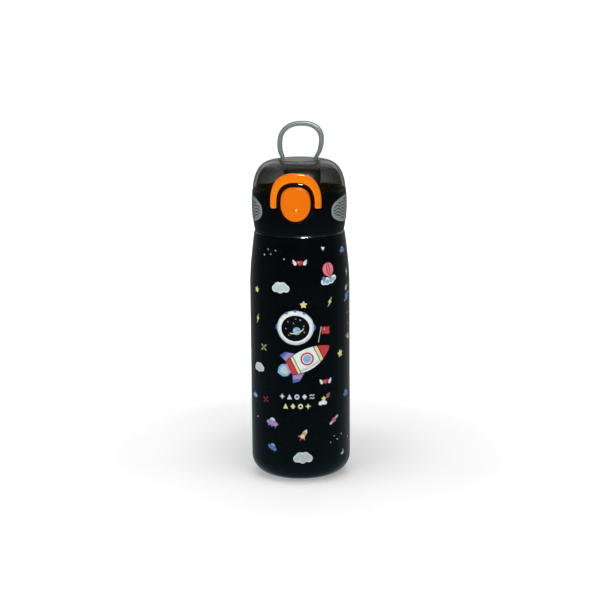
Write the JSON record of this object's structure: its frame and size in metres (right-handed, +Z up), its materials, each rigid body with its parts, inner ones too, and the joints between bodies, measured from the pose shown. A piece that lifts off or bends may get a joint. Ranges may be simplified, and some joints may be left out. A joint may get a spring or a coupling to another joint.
{
  "type": "kids water bottle",
  "caption": "Slim vacuum flask for a child, with a flip-up straw lid, push button, lock bail, side grips and a carry ring.",
  "frame": {"origin": "centre of the flat base pad, on the surface that the bottle stands on", "axes": "+Z up along the bottle; -Y towards the push button; +X to the right when the button is seen"},
  "size_m": [0.07, 0.0714, 0.25],
  "materials": {
    "lacquer": "glossy black lacquer with a small printed pattern",
    "steel": "brushed stainless steel",
    "base_rubber": "matt anti-slip silicone",
    "black_plastic": "semi-gloss black polypropylene",
    "bezel_plastic": "glossy black",
    "cap_plastic": "satin white polypropylene",
    "silicone": "milky food-grade silicone",
    "straw_plastic": "translucent white polypropylene",
    "grip_rubber": "matt grey ribbed silicone",
    "ring_rubber": "satin grey-green soft plastic",
    "smoke": "smoky transparent copolyester",
    "orange_button": "satin orange plastic",
    "orange_bail": "semi-gloss orange plastic",
    "spring_steel": "drawn stainless wire"
  },
  "bodies": {
    "bottle": {"outer_shell": "lacquer", "inner_flask": "steel", "base_plate": "steel", "base_pad": "base_rubber", "getter": "steel"},
    "lid": {"collar": "black_plastic", "inner_cap": "cap_plastic", "cap_gasket": "silicone", "deck_tray": "black_plastic", "nozzle": "silicone", "straw_holder": "silicone", "straw": "straw_plastic", "vent_valve": "silicone", "grip_left": "grip_rubber", "grip_right": "grip_rubber", "button_bezel": "bezel_plastic", "hinge_pin": "spring_steel", "hinge_spring": "spring_steel", "button_spring": "spring_steel"},
    "cover": {"dome_cover": "smoke", "hinge_block": "black_plastic", "cover_catch": "black_plastic", "dome_seal": "silicone", "ring_seat": "ring_rubber"},
    "button": {"button": "orange_button", "latch_slider": "black_plastic"},
    "bail": {"bail": "orange_bail"},
    "ring": {"carry_ring": "ring_rubber"}
  },
  "joints": [
    {"name": "lid_lift", "type": "slide", "parent": "bottle", "child": "lid", "axis": [0, 0, 1], "range_m": [0, 0.185]},
    {"name": "cover_hinge", "type": "hinge", "parent": "lid", "child": "cover", "pos_m": [0, 0.0315, 0.2038], "axis": [-1, 0, 0], "range_deg": [0, 110]},
    {"name": "button_press", "type": "slide", "parent": "lid", "child": "button", "axis": [0, 1, 0], "range_m": [0, 0.002], "stiffness_N_per_m": 400, "deforming": ["button_spring"]},
    {"name": "bail_swing", "type": "hinge", "parent": "lid", "child": "bail", "pos_m": [0, -0.0306, 0.1951], "axis": [1, 0, 0], "range_deg": [0, 110]},
    {"name": "ring_fold", "type": "hinge", "parent": "cover", "child": "ring", "pos_m": [0, 0, 0.2211], "axis": [1, 0, 0], "range_deg": [-28, 28]}
  ]
}
